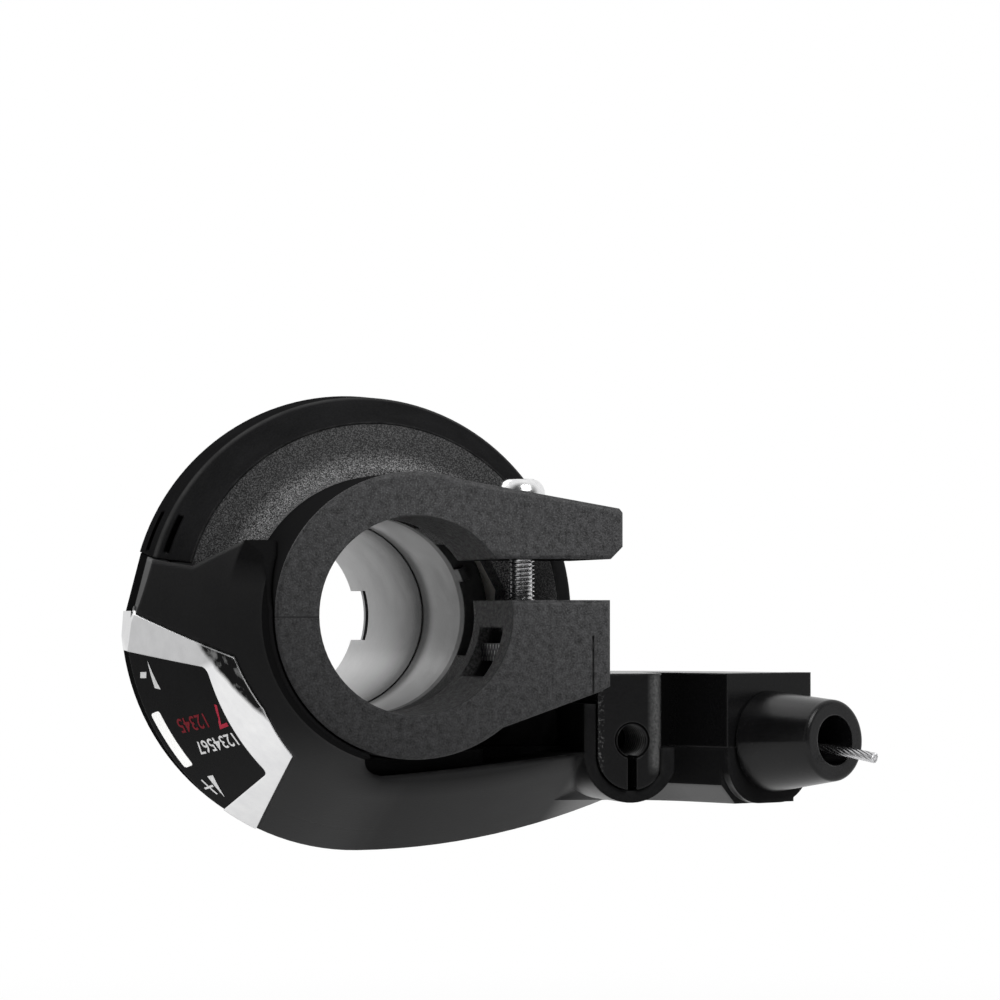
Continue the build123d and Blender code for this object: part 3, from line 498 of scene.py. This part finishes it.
def cover(name):
    """Cover moulding: satin, duller on the lip and the rim, with a painted sheen on the faces turned down
    under the cable arm and painted shade on the upward faces cut away beside the clamp.
    """
    mat = moulded(name, grey(0.007, 0.0073), grey(0.010, 0.0103), grey(0.02), grain_mm=0.3, blotch_mm=9.0,
                  rough=(0.3, 0.38), depth_mm=0.008, specular=0.018, edge_mm=0.85)
    tree, shader, where, at = parts_of(mat)
    true = facing_of(tree)
    # Painted sheen: faces turned down under the cable arm painted paler, with high gloss
    arm = times(tree, fade(tree, at["X"], 22.0, 33.0, smooth=True), ramp(tree, true["Z"], -0.3, -0.6))
    paint(tree, shader, arm, noise(tree, where, 0.4), grey(0.012, 0.0125), grey(0.018, 0.0185))
    low = times(tree, fade(tree, at["Z"], -11.0, -19.0, smooth=True),
                fade(tree, at["X"], 2.0, -6.0, smooth=True))
    blend(tree, shader, low, "Specular IOR Level", 0.065)
    brow = times(tree, fade(tree, at["Y"], 13.0, 8.0), fade(tree, at["X"], -8.0, -2.0))
    blend(tree, shader, brow, "Specular IOR Level", 0.004)
    blend(tree, shader, arm, "Specular IOR Level", 0.85)
    ends = either(tree, fade(tree, at["Y"], 3.8, 3.4), fade(tree, at["Y"], 28.5, 28.8))
    ends = times(tree, ends, fade(tree, at["X"], 22.0, 21.0))
    # Painted shade: the upward faces cut away beside the clamp
    cut = times(tree, ramp(tree, true["Z"], 0.15, 0.3), fade(tree, at["Y"], 10.0, 9.5),
                fade(tree, at["X"], 0.0, -0.5))
    # Lip and rim duller and a little darker; the cut faces in painted shade
    dull_and_shaded = either(tree, ends, cut)
    blend(tree, shader, dull_and_shaded, "Specular IOR Level", 0.0)
    paint(tree, shader, dull_and_shaded, noise(tree, where, 0.4), grey(0.005, 0.0052), grey(0.009, 0.0092))
    return mat


def chrome(name):
    """Bright plating with painted reflection and shade: the front strip's upper half painted dimmer, a
    painted dark reflection across it, and the top end wall painted dark as painted shade.
    """
    mat = metal(name, grey(0.80, 0.81), grey(0.88), rough=(0.05, 0.1), grain_mm=1.5, depth_mm=0.004,
                edge_mm=0.3)
    tree, shader, where, at = parts_of(mat)
    along, across = display_axes()
    middle = on_cone(0, 0, 0)
    dim_reflection_line, streak_line, streak_slant, ripple = -7.0, -9.95, 0.6, 0.35 * MM

    def reach(vector, offset):
        dot = tree.nodes.new("ShaderNodeVectorMath")
        dot.operation = "DOT_PRODUCT"
        link(tree, where, dot.inputs[0])
        dot.inputs[1].default_value = vector
        return math_node(tree, "SUBTRACT", dot.outputs["Value"], (vector.dot(middle) + offset) * MM)

    # Painted reflection: the front strip's upper half painted dimmer
    upper = fade(tree, reach(across, dim_reflection_line), -0.4, 0.4, 1.0, 0.0)
    paint(tree, shader, upper, noise(tree, where, 2.0), grey(0.44, 0.445), grey(0.56, 0.565))
    # Painted reflection: a dark band with a wavy edge across the front strip, kept off its edges
    wave = ramp(tree, noise(tree, where, 6.0), 0.3, 0.7, -ripple, ripple)
    painted_reflection_streak = math_node(tree, "ADD", reach(along + across * streak_slant, streak_line), wave)
    painted_reflection_streak = fade(tree, painted_reflection_streak, -0.5, 0.6, 1.0, 0.0, smooth=True)
    _, edge = soft_edges(tree, 0.25)
    patch = ramp(tree, noise(tree, where, 1.8), 0.5, 0.64)
    dark = tint(tree, patch, grey(0.004, 0.0042), grey(0.14))
    painted_reflection_streak = times(tree, painted_reflection_streak, without(tree, edge))
    blend(tree, shader, painted_reflection_streak, "Base Color", dark)
    black = times(tree, painted_reflection_streak, without(tree, patch))
    blend(tree, shader, black, "Metallic", 0.0)
    blend(tree, shader, black, "Specular IOR Level", 0.02)
    # Painted shade: the bezel's end wall painted dark and dull
    end = fade(tree, at["Z"], *bezel_end)
    paint(tree, shader, end, patch, grey(0.006, 0.0062), grey(0.009, 0.0092))
    blend(tree, shader, end, "Metallic", 0.0)
    blend(tree, shader, end, "Specular IOR Level", 0.02)
    return mat


def shroud(name):
    """Satin skirt over the drum, with a painted highlight along its crease and painted shade, black, at and
    round its snap slots.
    """
    mat = moulded(name, grey(0.009, 0.0093), grey(0.015, 0.0155), grey(0.06), grain_mm=0.25, blotch_mm=6.0,
                  rough=(0.45, 0.55), depth_mm=0.012, specular=0.0, edge_mm=0.3)
    tree, shader, where, at = parts_of(mat)
    # Painted highlight along the crease
    off = math_node(tree, "ABSOLUTE", math_node(tree, "SUBTRACT", at["Y"], crease_y * MM))
    crease = times(tree, fade(tree, off, 0.05, 0.8, 1.0, 0.0, smooth=True),
                   ramp(tree, noise(tree, where, 5.0), 0.25, 0.6, 0.5, 1.0))
    paint(tree, shader, crease, noise(tree, where, 0.4), grey(0.04), grey(0.055))
    # Painted shade at and round the snap slots
    turn = math_node(tree, "ARCTAN2", at["Z"], at["X"])
    first, last, soft = math.radians(snap_slot_from), math.radians(snap_slot_to), math.radians(0.4)
    ends = times(tree, ramp(tree, turn, first - soft, first + soft),
                 ramp(tree, turn, last + soft, last - soft))
    slots = times(tree, either(tree, *(band(tree, at["Y"], *reach, 0.2) for reach in snap_slots)), ends)
    paint(tree, shader, slots, noise(tree, where, 0.4), grey(0.0), grey(0.001))
    return mat


def lens(name):
    """Milky lens with a painted glow: it gives off a little light of its own."""
    mat = moulded(name, grey(0.90, 0.885), grey(0.95, 0.935), grey(0.95, 0.94), grain_mm=0.8, blotch_mm=3.0,
                  rough=(0.1, 0.18), depth_mm=0.004, specular=0.5)
    shader = mat.node_tree.nodes["Principled BSDF"]
    # Painted glow
    shader.inputs["Emission Color"].default_value = (1.0, 0.99, 0.96, 1)
    shader.inputs["Emission Strength"].default_value = 0.25
    return mat


def sleeve(name):
    """Smooth sleeve with painted light and shade: paler at its open end, a soft dark band of painted shade
    at its step, its step's face kept at a mid tone, and a darker front in painted shade.
    """
    mat = moulded(name, grey(0.16, 0.165), grey(0.24, 0.245), grey(0.34), grain_mm=0.5, blotch_mm=5.0,
                  rough=(0.28, 0.4), depth_mm=0.012, specular=0.4, edge_mm=0.6)
    tree, shader, where, at = parts_of(mat)
    y = at["Y"]
    mottle = noise(tree, where, 0.8)
    # Painted light: the open far end painted paler
    far = fade(tree, y, 48.0, 72.0, smooth=True)
    paint(tree, shader, far, mottle, grey(0.36, 0.362), grey(0.44, 0.442))
    # Painted shade: a soft dark band at the step
    step = times(tree, fade(tree, y, 36.0, 40.0, smooth=True),
                 fade(tree, y, 44.0, 60.0, 1.0, 0.0, smooth=True))
    paint(tree, shader, step, mottle, grey(0.045, 0.0455), grey(0.065, 0.066))
    blend(tree, shader, step, "Specular IOR Level", 0.02)
    # Painted light: the step's face, turned along the bore, painted back to a mid tone
    facing = math_node(tree, "ABSOLUTE", facing_of(tree)["Y"])
    step_face_painted_light = times(tree, ramp(tree, facing, 0.4, 0.7), band(tree, y, 36.0, 48.0))
    paint(tree, shader, step_face_painted_light, mottle, grey(0.20, 0.202), grey(0.26, 0.262))
    # Painted shade: the front end darker
    front = fade(tree, y, 24.5, 25.1, 1.0, 0.0)
    paint(tree, shader, front, mottle, grey(0.02, 0.0205), grey(0.05, 0.0505))
    blend(tree, shader, front, "Specular IOR Level", 0.05)
    return mat


finishes = {
    "clamp_bracket": bracket("bracket_nylon"),
    "bearing_sleeve": sleeve("sleeve_acetal"),
    "drum_shroud": shroud("shroud_satin"),
    "display_cover": cover("cover_satin"),
    "chrome_bezel": chrome("bezel_chrome"),
    "display_panel": moulded(
        "panel_gloss", grey(0.003, 0.0032), grey(0.005, 0.0053), grey(0.012),
        grain_mm=0.4, blotch_mm=6.0, rough=(0.2, 0.28), depth_mm=0.003, specular=0.025),
    "display_lens": lens("lens_milky"),
    "clamp_nut": serrated("nut_serrated"),
    "detent_spring": metal(
        "spring_strip", grey(0.45, 0.47), grey(0.58, 0.6),
        rough=(0.2, 0.34), grain_mm=0.3, depth_mm=0.01, stretch=(0.15, 1, 0.15)),
    "thrust_washer": moulded(
        "washer_slide", (0.62, 0.61, 0.57), (0.74, 0.73, 0.69), grey(0.8, 0.78),
        grain_mm=0.4, blotch_mm=3.0, rough=(0.4, 0.55), depth_mm=0.01, specular=0.5),
    "retaining_ring": metal(
        "ring_phosphate", grey(0.10, 0.105), grey(0.19, 0.2),
        rough=(0.35, 0.5), grain_mm=0.25, depth_mm=0.015),
    "cable_liner": moulded(
        "liner_tube", grey(0.58, 0.56), grey(0.7, 0.68), grey(0.75, 0.74),
        grain_mm=0.4, blotch_mm=3.0, rough=(0.25, 0.4), depth_mm=0.006, specular=0.5),
    "cable_nose": moulded(
        "nose_satin", grey(0.003, 0.0032), grey(0.006, 0.0063), grey(0.07),
        grain_mm=0.3, blotch_mm=3.5, rough=(0.22, 0.28), depth_mm=0.014, specular=0.24, edge_mm=0.3),
    "grip_core": moulded(
        "core_nylon", grey(0.012, 0.0125), grey(0.024, 0.025), grey(0.07),
        grain_mm=0.3, blotch_mm=4.0, rough=(0.4, 0.52), depth_mm=0.02, specular=0.45, edge_mm=0.25),
    "grip_rubber": moulded(
        "grip_rubber_soft", grey(0.012, 0.0125), grey(0.026, 0.0265), grey(0.05),
        grain_mm=0.22, blotch_mm=3.0, rough=(0.62, 0.8), depth_mm=0.03, specular=0.35, edge_mm=0.4),
    "cable_nipple": metal(
        "nipple_cast", grey(0.46, 0.47), grey(0.6, 0.61),
        rough=(0.3, 0.45), grain_mm=0.3, depth_mm=0.02),
    "indicator_band": moulded(
        "indicator_pale", grey(0.7, 0.68), grey(0.8, 0.78), grey(0.85, 0.84),
        grain_mm=0.5, blotch_mm=4.0, rough=(0.35, 0.5), depth_mm=0.006, specular=0.5),
    "clamp_bolt": metal(
        "bolt_zinc", grey(0.66, 0.67), grey(0.84),
        rough=(0.14, 0.26), grain_mm=0.5, depth_mm=0.008),
    "inner_wire": metal(
        "wire_bright", grey(0.5, 0.51), grey(0.72, 0.73),
        rough=(0.2, 0.34), grain_mm=0.3, depth_mm=0.01),
}
finishes["end_washer"] = finishes["thrust_washer"]
for name, node in nodes.items():
    node.data.materials.clear()
    node.data.materials.append(finishes[name])


# Mesh helpers

def add_piece(name, points, faces, mat, body, smooth=True):
    mesh = bpy.data.meshes.new(name)
    mesh.from_pydata([Vector(p) * MM for p in points], [], faces)
    mesh.validate()
    if smooth:
        mesh.shade_smooth()
    mesh.materials.append(mat)
    piece = bpy.data.objects.new(name, mesh)
    scene.collection.objects.link(piece)
    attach(piece, body)
    return piece


def grid_faces(rings, count, first=0, skip=()):
    """Quads between rings of points that close on themselves."""
    faces = []
    for i in range(rings - 1):
        for j in range(count):
            if (i, j) in skip:
                continue
            a, b = first + i * count, first + (i + 1) * count
            k = (j + 1) % count
            faces.append((a + j, a + k, b + k, b + j))
    return faces


def lathe(rings, count):
    """Points of rings (height, radius or radius by angle) round the Z axis."""
    points = []
    for height, radius in rings:
        for j in range(count):
            angle = 2 * math.pi * j / count
            r = radius(angle) if callable(radius) else radius
            points.append(Vector((r * math.cos(angle), r * math.sin(angle), height)))
    return points


def tooth(turns):
    """Height of a thread flank, 0 at the root and 1 at the crest."""
    part = turns % 1.0
    return min(1.0, max(0.0, 1.3 * (1 - abs(2 * part - 1)) - 0.1))


# Clamp bolt with its rolled thread

def make_bolt():
    count, rings_per_turn, thread_depth, chamfer = 48, 10, 0.31, 0.12
    root = bolt_radius - thread_depth
    steps = int((bolt_seat - bolt_tip) / bolt_pitch * rings_per_turn)
    rings = [(bolt_tip, 0.0), (bolt_tip, root * 0.8)]
    for i in range(steps + 1):
        height = bolt_tip + (bolt_seat - bolt_tip) * i / steps
        lead = min(1.0, 0.3 + i / 14)
        rings.append((height, lambda a, h=height, k=lead:
                      root + (bolt_radius - root) * k * tooth(h / bolt_pitch - a / (2 * math.pi))))
    top = bolt_seat + bolt_head_height
    bend = bolt_head_height * 0.62
    rings += [(bolt_seat, bolt_head_radius - chamfer), (bolt_seat + chamfer, bolt_head_radius)]
    for i in range(9):
        angle = math.pi / 2 * i / 8
        rings.append((top - bend + bend * math.sin(angle),
                      bolt_head_radius - bend * 0.8 * (1 - math.cos(angle))))

    def hexagon(a):
        return hex_flats / 2 / math.cos((a + math.pi / 6) % (math.pi / 3) - math.pi / 6)
    rings += [(top, lambda a: hexagon(a) + chamfer), (top - 0.1, hexagon),
              (top - hex_depth, hexagon), (top - hex_depth - 0.3, 0.0)]
    points = [p + Vector((bolt_x, bolt_y, 0)) for p in lathe(rings, count)]
    faces = grid_faces(len(rings), count)
    bolt = add_piece("clamp_bolt_threaded", points, faces, finishes["clamp_bolt"], "housing")
    bolt.data.set_sharp_from_angle(angle=math.radians(35))
    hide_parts("clamp_bolt")


def make_port_thread():
    """Thread cut in the boss's port, open along the slit, with painted shade in its roots and painted light
    on its crests.
    """
    count, steps = 40, 90
    depth, sunk = 0.34, 0.02
    rings = []
    for i in range(steps + 1):
        height = port_depth * i / steps
        rings.append((height, lambda a, h=height:
                      port_radius + sunk - depth * tooth(h / port_pitch - a / (2 * math.pi))))
    points = [Vector((port_x + p.x, port_front + p.z, port_z + p.y)) for p in lathe(rings, count)]
    half = math.asin(slit_width / 2 / port_radius)
    open_cells = set()
    for i in range(steps):
        if port_depth * i / steps < slit_depth:
            for j in range(count):
                middle = 2 * math.pi * (j + 0.5) / count
                if abs(middle - 1.5 * math.pi) < half:
                    open_cells.add((i, j))
    cut = moulded("port_thread_cut", grey(0.012, 0.0123), grey(0.03, 0.0305), grey(0.05), grain_mm=0.2,
                  blotch_mm=1.2, rough=(0.25, 0.4), depth_mm=0.02, specular=0.5, edge_mm=0.12)
    tree, shader, where, at = parts_of(cut)
    radius = radius_from(tree, at, port_x, port_z)
    # Painted shade in the thread's roots
    root = fade(tree, radius, port_radius - 0.8 * depth, port_radius - 0.45 * depth)
    paint(tree, shader, root, noise(tree, where, 0.4), grey(0.001), grey(0.002))
    blend(tree, shader, root, "Specular IOR Level", 0.0)
    # Painted light on the crests, away from the mouth
    crest = times(tree, without(tree, root),
                  fade(tree, at["Y"], port_front + 0.4, port_front + 1.6))
    paint(tree, shader, crest, noise(tree, where, 0.4), grey(0.08), grey(0.12))
    thread = add_piece("port_thread", points, grid_faces(len(rings), count, skip=open_cells), cut, "housing")


# Stranded wire

def route_points():
    """Points along the wire's smooth line."""
    curve = bpy.data.curves.new("wire_line", "CURVE")
    curve.dimensions = "3D"
    curve.resolution_u = 40
    spline = curve.splines.new("NURBS")
    spline.points.add(len(wire_route) - 1)
    for point, place in zip(spline.points, wire_route):
        point.co = (*place, 1)
    spline.order_u = 3
    spline.use_endpoint_u = True
    holder = bpy.data.objects.new("wire_line", curve)
    scene.collection.objects.link(holder)
    mesh = bpy.data.meshes.new_from_object(holder.evaluated_get(bpy.context.evaluated_depsgraph_get()))
    points = [v.co.copy() for v in mesh.vertices]
    bpy.data.objects.remove(holder)
    bpy.data.curves.remove(curve)
    bpy.data.meshes.remove(mesh)
    return points


def make_wire():
    line = route_points()
    strands, sides, lay = 9, 6, 8.5
    ring_radius = wire_radius * 0.70
    strand_radius = wire_radius - ring_radius
    points, faces = [], []
    last = len(line) - 1
    tangents = [(line[min(i + 1, last)] - line[max(i - 1, 0)]).normalized() for i in range(len(line))]
    side = Vector((0, 0, 1))
    frames = []
    for t in tangents:
        side = (side - t * side.dot(t)).normalized()
        frames.append((side.copy(), t.cross(side)))
    run = [0.0]
    for a, b in zip(line, line[1:]):
        run.append(run[-1] + (b - a).length)

    def tube(path, radius, count):
        first = len(points)
        for centre, (u, v) in zip(path, frames):
            for k in range(count):
                angle = 2 * math.pi * k / count
                points.append(centre + (u * math.cos(angle) + v * math.sin(angle)) * radius)
        faces.extend(grid_faces(len(path), count, first))
        faces.append(tuple(range(first + count - 1, first - 1, -1)))
        last = first + (len(path) - 1) * count
        faces.append(tuple(range(last, last + count)))

    tube(line, ring_radius, 12)
    for s in range(strands):
        path = []
        for centre, (u, v), along in zip(line, frames, run):
            angle = 2 * math.pi * (s / strands + along / lay)
            path.append(centre + (u * math.cos(angle) + v * math.sin(angle)) * ring_radius)
        tube(path, strand_radius, sides)
    wire = add_piece("inner_wire_stranded", points, faces, finishes["inner_wire"], "housing")
    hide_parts("inner_wire")


# Printed marks on the display

def print_finish(name, colour):
    deeper = tuple(c * 0.85 for c in colour)
    return moulded(name, deeper, colour, colour, grain_mm=0.3, blotch_mm=1.5, rough=(0.3, 0.42),
                   depth_mm=0.002, specular=0.05, edge_mm=0.02)


ink_white = print_finish("ink_white", grey(0.8))
ink_red = print_finish("ink_red", (0.45, 0.02, 0.05))
ink_deep = print_finish("ink_deep", (0.18, 0.006, 0.014))


def print_mark(name, corners, mat):
    """Printed patch with straight sides, laid on the cone."""
    shape = bmesh.new()
    shape.faces.new([shape.verts.new((u, v, 0)) for u, v in corners])
    bmesh.ops.subdivide_edges(shape, edges=shape.edges[:], cuts=7, use_grid_fill=True)
    shape.verts.index_update()
    points = [on_cone(p.co.x, p.co.y, print_lift) for p in shape.verts]
    faces = [tuple(p.index for p in f.verts) for f in shape.faces]
    shape.free()
    mark = add_piece(name, points, faces, mat, "housing", smooth=False)


def print_digits(name, text, u, v, height, fall, mat):
    """Plain digits printed on the cone, reading up the cone on a line that falls a little."""
    font_share, weight = 0.7, 0.015
    data = bpy.data.curves.new(name, "FONT")
    data.body = text
    data.size = height / font_share
    data.shear = digit_slant
    data.resolution_u = 4
    data.offset = weight * height
    holder = bpy.data.objects.new(name + "_line", data)
    scene.collection.objects.link(holder)
    flat = bpy.data.meshes.new_from_object(holder.evaluated_get(bpy.context.evaluated_depsgraph_get()))
    points = [on_cone(u + p.co.x, v + p.co.y + p.co.x * fall, digit_lift) for p in flat.vertices]
    faces = [tuple(f.vertices) for f in flat.polygons]
    bpy.data.objects.remove(holder)
    bpy.data.curves.remove(data)
    bpy.data.meshes.remove(flat)
    digits = add_piece(name, points, faces, mat, "housing", smooth=False)


def make_marks():
    print_mark("mark_minus", [(9.93, -9.37), (8.7, -9.1), (9.03, -8.45), (10.26, -8.72)], ink_white)
    print_mark("mark_wedge_minus", [(7.97, -10.29), (6.83, -6.57), (7.93, -6.99)], ink_white)
    print_mark("mark_plus_across", [(9.6, 5.3), (9.6, 7.8), (9.9, 7.8), (9.9, 5.3)], ink_white)
    print_mark("mark_plus_along", [(8.85, 6.38), (8.85, 6.68), (10.75, 6.68), (10.75, 6.38)], ink_white)
    print_mark("mark_wedge_plus", [(8.21, 5.12), (7.12, 5.26), (9.18, 8.58)], ink_white)
    print_digits("mark_gear_total", "7", u=-3.1, v=-2.55, height=2.9, fall=0.0, mat=ink_red)
    print_digits("mark_gear_row", "12345", u=0.2, v=-2.1, height=1.8, fall=-0.09, mat=ink_deep)
    print_digits("mark_gear_scale", "1234567", u=-2.75, v=1.25, height=1.7, fall=-0.07, mat=ink_white)


# Plating carried on over the cover's rim

def make_rim_plating(name, from_angle, to_angle):
    """Strip over the rim between two angles, on the round or on the flat side, whichever is further in."""
    rows, count, lift, flat_reach = 6, 16, 0.05, 60
    points = []
    for i in range(rows + 1):
        y = cone_rim_y + (rim_back_y - cone_rim_y) * i / rows
        round_radius = cone_rim_radius + (rim_back_radius - cone_rim_radius) * i / rows
        for j in range(count + 1):
            angle = from_angle + (to_angle - from_angle) * j / count
            radius = round_radius
            if abs(angle - rim_flat_angle) < flat_reach:
                radius = min(radius, rim_flat_reach / math.cos(math.radians(angle - rim_flat_angle)))
            turn, radius = math.radians(angle), radius + lift
            points.append((radius * math.cos(turn), y, radius * math.sin(turn)))
    row = count + 1
    faces = [(i * row + j, i * row + j + 1, (i + 1) * row + j + 1, (i + 1) * row + j)
             for i in range(rows) for j in range(count)]
    add_piece(name, points, faces, finishes["chrome_bezel"], "housing")


make_bolt()
make_port_thread()
make_wire()
make_marks()
make_rim_plating("bezel_rim_top", *plating_top)
make_rim_plating("bezel_rim_low", *plating_low)

bpy.context.view_layer.update()
